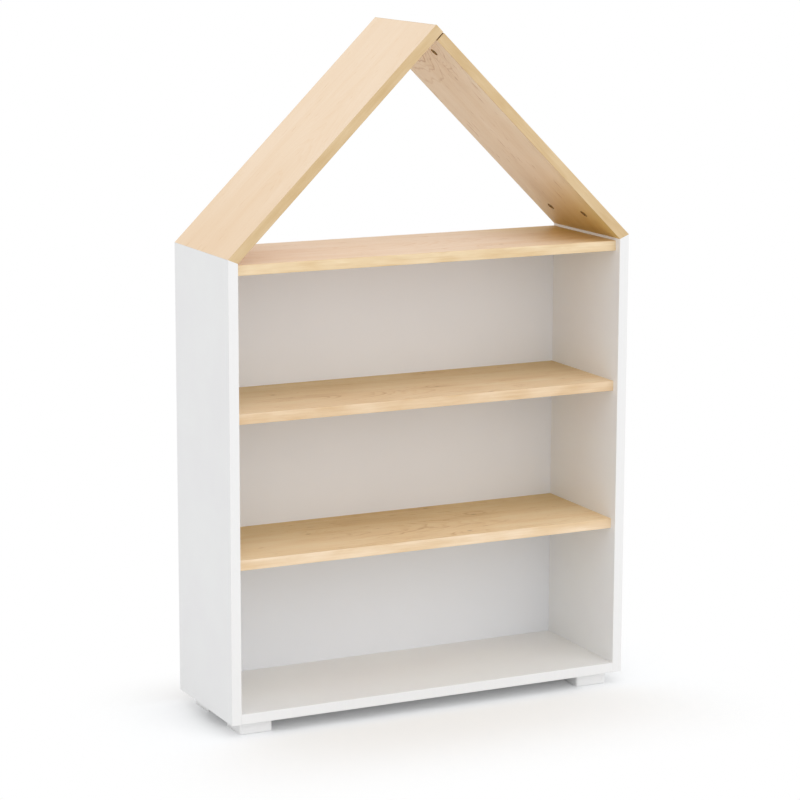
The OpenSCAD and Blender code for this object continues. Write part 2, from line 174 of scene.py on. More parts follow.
oak = {
    "levels": (0.0, 0.4, 1.0),  # tones at which a board's three colours lie
    "layers": {             # length along the grain, width across it, and detail
        "clouds": (150 * mm, 48 * mm, 3.0),
        "streaks": (700 * mm, 26 * mm, 2.0),
        "fibres": (70 * mm, 1.3 * mm, 4.0),  # coarser than real fibres, so that they show
        "pores": (11 * mm, 0.8 * mm, 1.0),   # real pores are 0.3 mm wide, drawn coarser to show
        "dashes": (38 * mm, 4.2 * mm, 2.5),  # short dark flecks in the grain
    },
    "poreLevels": (0.62, 0.72),  # noise at which a pore begins, and at which it is full
    "poreTone": 0.3,        # how dark the pores are, as a share of the fibres
    "poreDepth": 0.8,       # how deep they are, beside the relief of the fibres
    "dashLevels": (0.67, 0.74),
    "rings": 6.5 * mm,      # growth ring spacing
    "ringLine": (0.4, 0.88),  # parts of a year's growth at which its line begins, and is full
    "sway": (200 * mm, 71.43 * mm),  # length and width of the wander of the pith
    "swayReach": (0, 55 * mm, 50 * mm),  # how far it swings across and through the board
    "archSpread": 0.6,      # how far the arches show, as a share of the stretch where the pith dips
    "archRest": 0.2,        # what is left of them beyond
    "knot": "#A07A50",
    "knotCell": (310 * mm, 119.23 * mm),  # length and width of a cell, which may hold a knot
    "knotScatter": 0.5,     # 0 puts it in the middle of its cell, 1 anywhere in it
    "knotReach": 0.25,      # how far round it the rings part, as a share of a cell
    "knotRings": 3.2,       # by how many rings
    "knotTone": 0.16,       # how much darker the wood is there
    "knotHeart": (0.006, 0.024),  # shares of a cell at which its heart begins to pale, and ends
    "knotDark": 0.7,        # how far the heart goes toward the knot's colour
    "relief": 0.02 * mm,
    "roughness": (0.44, 0.58),
    "specular": 0.35,
}


def oakDecor(name, turn, look):
    # printed oak under matt melamine: soft clouds, faint arches, short dark flaws, a few knots
    # turn lays the grain along the board, look shifts it to its own piece of the print
    material, tree = newMaterial(name)
    place = addNode(tree, "ShaderNodeTexCoord").outputs["Object"]
    board = addNode(tree, "ShaderNodeMapping", {"Vector": place, "Rotation": (0, turn, 0)})
    grain = addNode(tree, "ShaderNodeVectorMath", {
        0: board.outputs[0], 1: look["shift"]}, operation="ADD").outputs[0]

    layers = {}
    for layer, (along, across, detail) in oak["layers"].items():
        drawn = addNode(tree, "ShaderNodeMapping", {
            "Vector": grain, "Scale": (1 / along, 1 / across, 1 / across)})
        layers[layer] = addNode(tree, "ShaderNodeTexNoise", {
            "Vector": drawn.outputs[0], "Scale": 1.0, "Detail": detail}).outputs[0]
    begins, full = oak["poreLevels"]
    pores = addNode(tree, "ShaderNodeMapRange", {
        "Value": layers["pores"], "From Min": begins, "From Max": full})
    begins, full = oak["dashLevels"]
    dashes = addNode(tree, "ShaderNodeMapRange", {
        "Value": layers["dashes"], "From Min": begins, "From Max": full})

    # distance from a pith line that dips under the board, at one place along it, makes the arches
    # the line wanders with a noise, whose middle value is 0.5
    swayLength, swayWidth = oak["sway"]
    drift = addNode(tree, "ShaderNodeMapping", {
        "Vector": grain, "Scale": (1 / swayLength, 1 / swayWidth, 1 / swayWidth)})
    wander = addNode(tree, "ShaderNodeTexNoise", {
        "Vector": drift.outputs[0], "Scale": 1.0, "Detail": 3.0})
    swing = addNode(tree, "ShaderNodeVectorMath", {
        0: wander.outputs["Color"], 1: (0.5, 0.5, 0.5)}, operation="SUBTRACT")
    swing = addNode(tree, "ShaderNodeVectorMath", {
        0: swing.outputs[0], 1: oak["swayReach"]}, operation="MULTIPLY")
    along = addNode(tree, "ShaderNodeSeparateXYZ", {"Vector": board.outputs[0]})
    across = addNode(tree, "ShaderNodeSeparateXYZ", {"Vector": grain})
    archFrom, archTo, dipTo = look["archPlace"]
    dip = addNode(tree, "ShaderNodeMapRange", {
        "Value": along.outputs["X"], "From Min": archFrom, "From Max": archTo,
        "To Min": 0.0, "To Max": dipTo}, interpolation_type="SMOOTHSTEP")
    axis = addNode(tree, "ShaderNodeCombineXYZ", {
        "Y": across.outputs["Y"], "Z": dip.outputs[0]})
    bent = addNode(tree, "ShaderNodeVectorMath", {
        0: axis.outputs[0], 1: swing.outputs[0]}, operation="ADD")
    radius = addNode(tree, "ShaderNodeVectorMath", {0: bent.outputs[0]}, operation="LENGTH")

    # knots: one in some cells, and the rings part round it
    cellLength, cellWidth = oak["knotCell"]
    cellAt = addNode(tree, "ShaderNodeMapping", {
        "Vector": grain, "Scale": (1 / cellLength, 1 / cellWidth, 1)})
    cell = addNode(tree, "ShaderNodeTexVoronoi", {
        "Vector": cellAt.outputs[0], "Scale": 1.0, "Randomness": oak["knotScatter"]},
        voronoi_dimensions="2D")
    chosen = addNode(tree, "ShaderNodeSeparateColor", {"Color": cell.outputs["Color"]})
    chosen = addNode(tree, "ShaderNodeMath", {
        0: chosen.outputs[0], 1: 1 - look["knots"]}, operation="GREATER_THAN")
    swell = addNode(tree, "ShaderNodeMapRange", {
        "Value": cell.outputs["Distance"], "From Min": 0.0, "From Max": oak["knotReach"],
        "To Min": 1.0, "To Max": 0.0}, interpolation_type="SMOOTHERSTEP")
    swell = addNode(tree, "ShaderNodeMath", {
        0: swell.outputs[0], 1: chosen.outputs[0]}, operation="MULTIPLY")
    pales, ends = oak["knotHeart"]
    heart = addNode(tree, "ShaderNodeMapRange", {
        "Value": cell.outputs["Distance"], "From Min": pales, "From Max": ends,
        "To Min": oak["knotDark"], "To Max": 0.0}, interpolation_type="SMOOTHSTEP")
    heart = addNode(tree, "ShaderNodeMath", {
        0: heart.outputs[0], 1: chosen.outputs[0]}, operation="MULTIPLY")

    # a ring is a soft line at the end of its year, some years stronger than others
    count = addNode(tree, "ShaderNodeMath", {
        0: radius.outputs["Value"], 1: 1 / oak["rings"]}, operation="MULTIPLY")
    count = addNode(tree, "ShaderNodeMath", {
        0: swell.outputs[0], 1: oak["knotRings"], 2: count.outputs[0]}, operation="MULTIPLY_ADD")
    share = addNode(tree, "ShaderNodeMath", {0: count.outputs[0]}, operation="FRACT")
    whole = addNode(tree, "ShaderNodeMath", {0: count.outputs[0]}, operation="FLOOR")
    begins, full = oak["ringLine"]
    lateness = addNode(tree, "ShaderNodeMapRange", {
        "Value": share.outputs[0], "From Min": begins, "From Max": full},
        interpolation_type="SMOOTHSTEP")
    ending = addNode(tree, "ShaderNodeMapRange", {
        "Value": share.outputs[0], "From Min": full, "From Max": 1.0, "To Min": 1.0, "To Max": 0.0})
    ring = addNode(tree, "ShaderNodeMath", {
        0: lateness.outputs[0], 1: ending.outputs[0]}, operation="MULTIPLY")
    yearly = addNode(tree, "ShaderNodeTexWhiteNoise", {"W": whole.outputs[0]},
                     noise_dimensions="1D")
    ring = addNode(tree, "ShaderNodeMath", {
        0: ring.outputs[0], 1: yearly.outputs["Value"]}, operation="MULTIPLY")

    # the arches show most where the pith dips
    off = addNode(tree, "ShaderNodeMath", {
        0: along.outputs["X"], 1: (archFrom + archTo) / 2}, operation="SUBTRACT")
    off = addNode(tree, "ShaderNodeMath", {0: off.outputs[0]}, operation="ABSOLUTE")
    zone = addNode(tree, "ShaderNodeMapRange", {
        "Value": off.outputs[0], "From Min": 0.0, "From Max": (archTo - archFrom) * oak["archSpread"],
        "To Min": look["arches"], "To Max": look["arches"] * oak["archRest"]},
        interpolation_type="SMOOTHSTEP")
    tone = addNode(tree, "ShaderNodeMath", {
        0: ring.outputs[0], 1: zone.outputs[0]}, operation="MULTIPLY")

    # tone 0 is the lightest, 1 the darkest
    marks = ((layers["clouds"], look["clouds"], -look["clouds"] / 2),
             (layers["streaks"], look["streaks"], -look["streaks"] / 2),
             (layers["fibres"], look["fibres"], -look["fibres"] / 2),
             (pores.outputs[0], look["fibres"] * oak["poreTone"], 0.0),
             (dashes.outputs[0], look["dashes"], 0.0),
             (swell.outputs[0], oak["knotTone"], look["tone"]))
    for source, weight, rest in marks:
        part = addNode(tree, "ShaderNodeMath", {
            0: source, 1: weight, 2: rest}, operation="MULTIPLY_ADD")
        tone = addNode(tree, "ShaderNodeMath", {
            0: tone.outputs[0], 1: part.outputs[0]}, operation="ADD")
    colour = addNode(tree, "ShaderNodeValToRGB", {"Fac": tone.outputs[0]})
    setStops(colour, oak["levels"], look["colours"])
    # a colour mix takes its share at socket 0 and its colours at 6 and 7, and gives at output 2
    withKnots = addNode(tree, "ShaderNodeMix", {
        0: heart.outputs[0], 6: colour.outputs[0], 7: fromHex(oak["knot"])}, data_type="RGBA")

    # painted shade: the colour darkens toward one side of the board, where it lies in shade
    direction, shadeFrom, shadeTo, shadeTint = look["paintedShade"]
    toward = addNode(tree, "ShaderNodeVectorMath", {
        0: board.outputs[0], 1: direction}, operation="DOT_PRODUCT")
    shadeShare = addNode(tree, "ShaderNodeMapRange", {
        "Value": toward.outputs["Value"], "From Min": shadeFrom, "From Max": shadeTo},
        interpolation_type="SMOOTHSTEP")
    shaded = addNode(tree, "ShaderNodeMix", {
        0: shadeShare.outputs[0], 6: withKnots.outputs[2], 7: fromHex(shadeTint)},
        data_type="RGBA", blend_type="MULTIPLY")

    low, high = oak["roughness"]
    gloss = addNode(tree, "ShaderNodeMapRange", {
        "Value": layers["fibres"], "To Min": low, "To Max": high})
    relief = addNode(tree, "ShaderNodeMath", {
        0: pores.outputs[0], 1: -oak["poreDepth"], 2: layers["fibres"]}, operation="MULTIPLY_ADD")
    surfaceOut(tree, shaded.outputs[2], gloss.outputs[0], relief.outputs[0], oak["relief"],
               Specular_IOR_Level=oak["specular"])
    return material


oakBand = {                 # sizes go along, through and across the band
    "line": (90 * mm, 50 * mm, 1.6 * mm),  # coarser than real printed lines, so that they show
    "lineBend": 0.3,
    "lineShare": 0.45,      # how strong the lines are, beside the clouds
    "cloud": (71.43 * mm, 50 * mm, 14.286 * mm),
    "range": (0.5, 0.95),   # sums of lines and clouds that give the first and the last colour
    "relief": 0.015 * mm,
    "roughness": (0.41, 0.52),
    "specular": 0.35,
}


def oakEdgeBand(name, turn, colours, shift):
    # printed ABS band: the decor's plainer match, faint lines and clouds along its length
    material, tree = newMaterial(name)
    place = addNode(tree, "ShaderNodeTexCoord").outputs["Object"]
    grain = addNode(tree, "ShaderNodeMapping", {
        "Vector": place, "Rotation": (0, turn, 0), "Location": shift}).outputs[0]
    drawn = addNode(tree, "ShaderNodeMapping", {
        "Vector": grain, "Scale": [1 / size for size in oakBand["line"]]})
    lines = addNode(tree, "ShaderNodeTexNoise", {
        "Vector": drawn.outputs[0], "Scale": 1.0, "Detail": 4.0, "Distortion": oakBand["lineBend"]})
    cloudAt = addNode(tree, "ShaderNodeMapping", {
        "Vector": grain, "Scale": [1 / size for size in oakBand["cloud"]]})
    clouds = addNode(tree, "ShaderNodeTexNoise", {
        "Vector": cloudAt.outputs[0], "Scale": 1.0, "Detail": 3.0})
    both = addNode(tree, "ShaderNodeMath", {
        0: lines.outputs[0], 1: oakBand["lineShare"], 2: clouds.outputs[0]},
        operation="MULTIPLY_ADD")
    least, most = oakBand["range"]
    tone = addNode(tree, "ShaderNodeMapRange", {
        "Value": both.outputs[0], "From Min": least, "From Max": most})
    colour = addNode(tree, "ShaderNodeValToRGB", {"Fac": tone.outputs[0]})
    setStops(colour, (0.0, 1.0), colours)
    low, high = oakBand["roughness"]
    gloss = addNode(tree, "ShaderNodeMapRange", {
        "Value": lines.outputs[0], "To Min": low, "To Max": high})
    surfaceOut(tree, colour.outputs[0], gloss.outputs[0], lines.outputs[0], oakBand["relief"],
               Specular_IOR_Level=oakBand["specular"])
    return material


chips = {
    "tones": ("#64472A", "#A07B4C", "#C9A877"),
    "levels": (0.0, 0.35, 1.0),
    "size": 2.2 * mm,
    "relief": 0.15 * mm,
    "roughness": 0.9,
}


def chipboardCore():
    # sawn chipboard: pressed chips in many tones, rough and dry, seen at cut ends and in bores
    material, tree = newMaterial("chipboard_core_sawn")
    place = addNode(tree, "ShaderNodeTexCoord").outputs["Object"]
    chip = addNode(tree, "ShaderNodeTexVoronoi", {
        "Vector": place, "Scale": 1 / chips["size"]})
    mixed = addNode(tree, "ShaderNodeSeparateColor", {"Color": chip.outputs["Color"]})
    colour = addNode(tree, "ShaderNodeValToRGB", {"Fac": mixed.outputs[0]})
    setStops(colour, chips["levels"], chips["tones"])
    surfaceOut(tree, colour.outputs[0], chips["roughness"], chip.outputs["Distance"],
               chips["relief"])
    return material


whiteLacquer = {
    "tones": ("#ECEEF2", "#EEF0F4"),  # a slightly cooler white than the melamine
    "levels": (0.35, 0.65),
    "cloud": 166.7 * mm,
    "ripple": 2.5 * mm,
    "rippleDepth": 0.015 * mm,
    "roughness": (0.46, 0.58),
}


def lacqueredBack():
    # thin fibreboard lacquered white: flatter than the melamine, a faint ripple
    material, tree = newMaterial("white_lacquered_hardboard")
    place = addNode(tree, "ShaderNodeTexCoord").outputs["Object"]
    ripple = addNode(tree, "ShaderNodeTexNoise", {
        "Vector": place, "Scale": 1 / whiteLacquer["ripple"], "Detail": 2.0})
    cloud = addNode(tree, "ShaderNodeTexNoise", {
        "Vector": place, "Scale": 1 / whiteLacquer["cloud"], "Detail": 2.0})
    tone = addNode(tree, "ShaderNodeValToRGB", {"Fac": cloud.outputs[0]})
    setStops(tone, whiteLacquer["levels"], whiteLacquer["tones"])
    low, high = whiteLacquer["roughness"]
    gloss = addNode(tree, "ShaderNodeMapRange", {
        "Value": ripple.outputs[0], "To Min": low, "To Max": high})
    surfaceOut(tree, tone.outputs[0], gloss.outputs[0],
               ripple.outputs[0], whiteLacquer["rippleDepth"])
    return material


pressedFibre = {
    "tones": ("#7C5E40", "#9C7C58"),
    "range": (0.35, 0.9),   # sums of fibres and patches that give the first and the last tone
    "fibre": 1.4 * mm,      # felted fibres, drawn coarser to show
    "fibreDepth": 0.03 * mm,
    "patch": 71.43 * mm,
    "patchShare": 0.25,     # how strong the patches are, beside the fibres
    "roughness": 0.78,
}


def plainHardboard():
    # pressed wood fibre: mottled brown, matt
    material, tree = newMaterial("hardboard_pressed_fibre")
    place = addNode(tree, "ShaderNodeTexCoord").outputs["Object"]
    felt = addNode(tree, "ShaderNodeTexNoise", {
        "Vector": place, "Scale": 1 / pressedFibre["fibre"], "Detail": 5.0, "Roughness": 0.7})
    patch = addNode(tree, "ShaderNodeTexNoise", {
        "Vector": place, "Scale": 1 / pressedFibre["patch"], "Detail": 2.0})
    both = addNode(tree, "ShaderNodeMath", {
        0: patch.outputs[0], 1: pressedFibre["patchShare"], 2: felt.outputs[0]},
        operation="MULTIPLY_ADD")
    least, most = pressedFibre["range"]
    tone = addNode(tree, "ShaderNodeMapRange", {
        "Value": both.outputs[0], "From Min": least, "From Max": most})
    colour = addNode(tree, "ShaderNodeValToRGB", {"Fac": tone.outputs[0]})
    setStops(colour, (0.0, 1.0), pressedFibre["tones"])
    surfaceOut(tree, colour.outputs[0], pressedFibre["roughness"], felt.outputs[0],
               pressedFibre["fibreDepth"])
    return material


footPlastic = {
    "tones": ("#F3F3F3", "#F7F7F7"),
    "levels": (0.3, 0.7),
    "spark": 0.35 * mm,     # spark-eroded mould texture, drawn coarser to show
    "sparkDepth": 0.02 * mm,
    "roughness": (0.43, 0.54),
}


def mouldedPolypropylene():
    # injection-moulded white plastic: satin, with a fine even grain
    material, tree = newMaterial("moulded_white_polypropylene")
    place = addNode(tree, "ShaderNodeTexCoord").outputs["Object"]
    spark = addNode(tree, "ShaderNodeTexNoise", {
        "Vector": place, "Scale": 1 / footPlastic["spark"], "Detail": 2.0})
    tone = addNode(tree, "ShaderNodeValToRGB", {"Fac": spark.outputs[0]})
    setStops(tone, footPlastic["levels"], footPlastic["tones"])
    low, high = footPlastic["roughness"]
    gloss = addNode(tree, "ShaderNodeMapRange", {
        "Value": spark.outputs[0], "To Min": low, "To Max": high})
    surfaceOut(tree, tone.outputs[0], gloss.outputs[0],
               spark.outputs[0], footPlastic["sparkDepth"])
    return material


metals = {
    "zincCast": {
        "tones": ("#927848", "#BFA26E"),  # yellow passivated, close to the oak's tone
        "levels": (0.3, 0.7), "roughness": (0.44, 0.6),
        "grain": 0.5 * mm, "depth": 0.02 * mm,
    },
    "zincPlated": {
        "tones": ("#BFC4CA", "#D3D6D9"),
        "levels": (0.3, 0.7), "roughness": (0.21, 0.37),
        "grain": 0.8 * mm, "depth": 0.004 * mm,
    },
}


def metalFinish(name, finish):
    # passivated die-cast zinc is dull, yellowish and finely pitted
    # bright zinc plating is smooth and bluish
    material, tree = newMaterial(name)
    place = addNode(tree, "ShaderNodeTexCoord").outputs["Object"]
    grain = addNode(tree, "ShaderNodeTexNoise", {
        "Vector": place, "Scale": 1 / finish["grain"], "Detail": 3.0})
    tone = addNode(tree, "ShaderNodeValToRGB", {"Fac": grain.outputs[0]})
    setStops(tone, finish["levels"], finish["tones"])
    low, high = finish["roughness"]
    gloss = addNode(tree, "ShaderNodeMapRange", {
        "Value": grain.outputs[0], "To Min": low, "To Max": high})
    surfaceOut(tree, tone.outputs[0], gloss.outputs[0], grain.outputs[0], finish["depth"],
               Metallic=1.0)
    return material


beechRod = {
    "tones": ("#A97F52", "#CDA577", "#DDBB90"),
    "levels": (0.3, 0.5, 0.8),
    "fleck": (4 * mm, 0.667 * mm),  # length along the rod and width across it
    "relief": 0.03 * mm,
    "roughness": 0.6,
}


def beechDowel():
    # turned beech: pale brown with short dark flecks along the rod
    material, tree = newMaterial("beech_turned")
    place = addNode(tree, "ShaderNodeTexCoord").outputs["Object"]
    length, width = beechRod["fleck"]
    along = addNode(tree, "ShaderNodeMapping", {
        "Vector": place, "Scale": (1 / length, 1 / width, 1 / width)})
    flecks = addNode(tree, "ShaderNodeTexNoise", {
        "Vector": along.outputs[0], "Scale": 1.0, "Detail": 3.0})
    colour = addNode(tree, "ShaderNodeValToRGB", {"Fac": flecks.outputs[0]})
    setStops(colour, beechRod["levels"], beechRod["tones"])
    surfaceOut(tree, colour.outputs[0], beechRod["roughness"], flecks.outputs[0],
               beechRod["relief"])
    return material


melamine = whiteMelamine()
whiteAbs = whiteEdgeBand()
core = chipboardCore()
lacquer = lacqueredBack()
hardboard = plainHardboard()
plastic = mouldedPolypropylene()
zincCast = metalFinish("die_cast_zinc_yellow_passivated", metals["zincCast"])
zincPlated = metalFinish("zinc_plated_steel", metals["zincPlated"])
beech = beechDowel()
print("materials made")


forms = {
    "weld": 0.002 * mm,
    "flatWithin": 0.6,      # degrees between faces that are taken as one
    "onPlane": 0.02 * mm,   # how far off a plane a corner may be
    "sameWay": 0.9,         # product of two normals from which they point the same way
    "cornerFrom": 20,       # degrees, a blunter edge isn't rounded
    "sharpFrom": 38,        # degrees, a blunter edge is shaded smooth
    "evenWeight": 60,       # above 50, broad faces lead the shading
}


def openForm(nodeName):
    # the CAD node's faces as a clean mesh: corners welded, flat faces whole
    form = bmesh.new()
    source = nodes[nodeName].data
    corners = [form.verts.new(v.co) for v in source.vertices]
    for face in source.polygons:
        form.faces.new([corners[i] for i in face.vertices])
    bmesh.ops.remove_doubles(form, verts=form.verts[:], dist=forms["weld"])
    bmesh.ops.dissolve_limit(form, angle_limit=math.radians(forms["flatWithin"]),
                             use_dissolve_boundaries=False,
                             verts=form.verts[:], edges=form.edges[:], delimit={"NORMAL"})
    bmesh.ops.recalc_face_normals(form, faces=form.faces[:])
    return form


def skinFaces(form):
    # faces on the flat sides that all of the form lies behind, so no bore wall or pocket floor
    # a narrow face can count by a neighbour's plane, its own normal may be a little off
    points = [v.co.copy() for v in form.verts]
    skin = set()
    for side in form.faces:
        level = side.verts[0].co.dot(side.normal)
        if all(p.dot(side.normal) <= level + forms["onPlane"] for p in points):
            skin.update(face for face in form.faces if all(
                abs(v.co.dot(side.normal) - level) < forms["onPlane"] for v in face.verts))
    return skin


def closeForm(form, name, materials):
    # the finished mesh as an object, smooth but for its sharp edges
    mesh = bpy.data.meshes.new(name)
    form.to_mesh(mesh)
    form.free()
    for material in materials:
        mesh.materials.append(material)
    mesh.polygons.foreach_set("use_smooth", [True] * len(mesh.polygons))
    mesh.set_sharp_from_angle(angle=math.radians(forms["sharpFrom"]))
    piece = bpy.data.objects.new(name, mesh)
    scene.collection.objects.link(piece)
    even = piece.modifiers.new("even_shading", "WEIGHTED_NORMAL")  # keeps broad faces flat
    even.keep_sharp = True
    even.weight = forms["evenWeight"]
    return piece


def settle(piece, slotName, *nodeNames):
    # nothing moves, so each piece rides the root; it shows in place of its CAD nodes
    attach(piece, "root")
    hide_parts(*nodeNames)


def insideBox(point, box):
    low, high = box
    slack = forms["onPlane"]
    return all(low[i] - slack <= point[i] <= high[i] + slack for i in range(3))


boardEdges = {
    "corner": 0.3 * mm,     # sawn edge, the sharpness just taken off, the bores stay crisp
    "steps": 2,
    "profile": 0.6,         # 0.5 is round, 1 is square
}


def dressBoard(name, nodeName, slotName, decor, bands=(), ownFinish=None):
    # a board with its decor on the broad faces, bare core on cut ends and in bores
    # ownFinish is a material and the direction of the one side that has it
    materials = [decor, core] + ([ownFinish[0]] if ownFinish else [])
    coreIndex, ownIndex = 1, 2
    form = openForm(nodeName)
    skin = skinFaces(form)
    broadest = max(form.faces, key=lambda f: f.calc_area())
    axis = broadest.normal.copy()
    bandBoxes = [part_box(b) for b in bands]
    for face in form.faces:
        if ownFinish and face in skin and face.normal.dot(Vector(ownFinish[1])) > forms["sameWay"]:
            face.material_index = ownIndex
        elif face not in skin or abs(face.normal.dot(axis)) < forms["sameWay"]:
            face.material_index = coreIndex
    corners = []
    for edge in form.edges:
        underBand = any(insideBox(edge.verts[0].co, b) and insideBox(edge.verts[1].co, b)
                        for b in bandBoxes)
        if (not underBand and all(f in skin for f in edge.link_faces)
                and edge.calc_face_angle() > math.radians(forms["cornerFrom"])):
            corners.append(edge)
    bmesh.ops.bevel(form, geom=corners, offset=boardEdges["corner"],
                    segments=boardEdges["steps"], profile=boardEdges["profile"],
                    affect="EDGES", clamp_overlap=True)
    settle(closeForm(form, name, materials), slotName, nodeName)


bandEdges = {
    "radius": 0.8 * mm,     # scraped round after gluing
    "steps": 3,
    "profile": 0.5,
}


def dressBand(name, nodeName, slotName, material, boardNode):
    # an edge band, rounded on the long edges of its outer face
    form = openForm(nodeName)
    boardLow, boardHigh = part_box(boardNode)
    middle = (boardLow + boardHigh) / 2
    low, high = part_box(nodeName)
    broadest = sorted(form.faces, key=lambda f: -f.calc_area())[:2]
    outer = max(broadest, key=lambda f: (f.calc_center_median() - middle).dot(f.normal))
    longEnough = max(high - low) / 3  # its ends are far shorter
    rounded = [e for e in outer.edges if e.calc_length() > longEnough]
    bmesh.ops.bevel(form, geom=rounded, offset=bandEdges["radius"], segments=bandEdges["steps"],
                    profile=bandEdges["profile"], affect="EDGES", clamp_overlap=True)
    settle(closeForm(form, name, [material]), slotName, nodeName)


def slopeTurn(nodeName):
    # turn about Y that lays a board's slope along X, from its broadest face
    face = max(nodes[nodeName].data.polygons, key=lambda f: f.area)
    normal = face.normal if face.normal.z > 0 else -face.normal
    return -math.atan2(normal.x, normal.z)


edgedBelow = (whiteAbs, (0, 0, -1))  # the ends near the floor are edged against damp
dressBoard("left_side_panel", "side_panel_left", "white_melamine", melamine,
           ["side_band_left"], edgedBelow)
dressBoard("right_side_panel", "side_panel_right", "white_melamine", melamine,
           ["side_band_right"], edgedBelow)
dressBoard("bottom_board", "bottom_panel", "white_melamine", melamine, ["bottom_band"])
dressBoard("back_board", "back_panel", "back_board", lacquer, ownFinish=(hardboard, (0, 1, 0)))
dressBand("left_side_front_band", "side_band_left", "white_edge", whiteAbs, "side_panel_left")
dressBand("right_side_front_band", "side_band_right", "white_edge", whiteAbs, "side_panel_right")
dressBand("bottom_front_band", "bottom_band", "white_edge", whiteAbs, "bottom_panel")
print("case dressed")


# what a board's look holds:
# shift is its own piece of the print, colours go from the lightest tone to the darkest,
# tone is the tone it starts from, clouds to dashes and arches say how much each adds to it,
# knots is the share of cells that hold one, archPlace is where the pith dips and how deep,
# the painted shade is a direction, the places along it where it begins and is full, and its tint,
# band is the darker and the lighter colour of its edge band
# painted shade darkens the shelves toward the back and the top board toward its right end, under the
# roof
shelfLooks = {
    "lower_shelf": {
        "shift": (0.31, 0.02, 0.0), "colours": ("#FCE6C1", "#F5D7AA", "#CFA46B"), "tone": 0.26,
        "clouds": 0.8, "streaks": 0.6, "fibres": 0.55, "dashes": 0.8, "knots": 0.45,
        "archPlace": (-0.3, 0.34, 0.08), "arches": 0.4,
        "paintedShade": ((0, 1, 0), -0.1, 0.1, "#DFD8C0"), "band": ("#E4C69D", "#F6E0C3"),
    },
    "upper_shelf": {
        "shift": (1.27, 0.03, 0.4), "colours": ("#F8E2BF", "#F1D3A9", "#CDA26C"), "tone": 0.25,
        "clouds": 0.8, "streaks": 0.6, "fibres": 0.48, "dashes": 0.6, "knots": 0.45,
        "archPlace": (-0.36, 0.2, 0.09), "arches": 0.4,
        "paintedShade": ((0, 1, 0), -0.1, 0.1, "#DFDAC4"), "band": ("#DBBA90", "#EDD4B3"),
    },
    "top_board": {
        "shift": (2.45, -0.01, 0.8), "colours": ("#F7E3CD", "#EFD4B5", "#CEA476"), "tone": 0.16,
        "clouds": 0.6, "streaks": 0.5, "fibres": 0.48, "dashes": 0.9, "knots": 0.45,
        "archPlace": (-0.3, 0.3, 0.08), "arches": 0.35,
        "paintedShade": ((1, 0.4, 0), 0.16, 0.40, "#DECB86"), "band": ("#DFC193", "#F1DBB7"),
    },
}
for board, look in shelfLooks.items():
    decor = oakDecor(board + "_oak_decor", 0, look)
    band = oakEdgeBand(board + "_oak_band", 0, look["band"], look["shift"])
    dressBoard(board + "_oak", board, "oak_decor", decor, [board + "_band"])
    dressBand(board + "_front_band", board + "_band", "oak_edge", band, board)
print("shelves dressed")


# painted shade darkens the right board's inner face into its corner; on the left board it is faint
roofLooks = {
    "left": {
        "shift": (0.62, 0.05, 1.3), "colours": ("#F8E1C6", "#F0D2AE", "#D6AF84"), "tone": 0.10,
        "clouds": 0.35, "streaks": 0.3, "fibres": 0.24, "dashes": 0.5, "knots": 0.0,
        "archPlace": (0.3, 0.84, 0.08), "arches": 0.12,
        "paintedShade": ((-1, 0, 0), -0.6, -0.3, "#FAF6F0"),
    },
    "right": {
        "shift": (0.20, -0.055, 2.1), "colours": ("#F1DFC6", "#E6CFB0", "#BF9870"), "tone": 0.29,
        "clouds": 0.7, "streaks": 0.3, "fibres": 0.36, "dashes": 1.1, "knots": 0.45,
        "archPlace": (-0.93, -0.66, 0.14), "arches": 0.6,
        "paintedShade": ((1, -0.35, -10), -8.86, -8.67, "#EADA9E"),  # painted shade, on the inner face alone
    },
}
roofBandColours = ("#CFB182", "#DEC49B")
for side, look in roofLooks.items():
    board = "roof_board_" + side
    turn = slopeTurn(board)
    decor = oakDecor(board + "_oak_decor", turn, look)
    band = oakEdgeBand(board + "_oak_band", turn, roofBandColours, look["shift"])
    bands = ["roof_band_" + side + "_" + end for end in ("front", "rear")]
    hiddenEdges = bands + (["ridge_band"] if side == "left" else [])
    dressBoard(board + "_oak", board, "oak_decor", decor, hiddenEdges)
    for bandNode in bands:
        dressBand(bandNode + "_oak", bandNode, "oak_edge", band, board)
    if side == "left":
        dressBand("ridge_band_oak", "ridge_band", "oak_edge", band, board)
print("roof dressed")


footEdges = {
    "rim": 1.6 * mm,        # moulded edge round the sole
    "steps": 3,
    "profile": 0.5,
}


def dressFoot(nodeName):
    # a moulded foot, rounded where its outer sides meet the sole
    form = openForm(nodeName)
    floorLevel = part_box(nodeName)[0].z
    skin = skinFaces(form)
    sole = [e for e in form.edges if len(e.link_faces) == 2 and all(f in skin for f in e.link_faces)
            and all(abs(v.co.z - floorLevel) < forms["onPlane"] for v in e.verts)
            and e.calc_face_angle() > math.radians(forms["cornerFrom"])]
    bmesh.ops.bevel(form, geom=sole, offset=footEdges["rim"], segments=footEdges["steps"],
                    profile=footEdges["profile"], affect="EDGES", clamp_overlap=True)
    settle(closeForm(form, nodeName + "_moulded", [plastic]), "foot_plastic", nodeName)


for end in ("front", "rear"):
    for side in ("left", "right"):
        dressFoot("foot_" + end + "_" + side)
print("feet dressed")


# fittings keep their CAD shape
fittingFinishes = {
    zincCast: ["board_cams", "ridge_cams", "eaves_cams"],
    zincPlated: ["foot_screws", "board_bolts", "ridge_bolts", "eaves_screws", "eaves_rods",
                 "eaves_pins", "back_nails"],
    beech: ["board_dowels", "ridge_dowel"],
}
for finish, names in fittingFinishes.items():
    for nodeName in names:
        fitting = nodes[nodeName]
        fitting.data.materials.clear()
        fitting.data.materials.append(finish)
print("fittings finished")


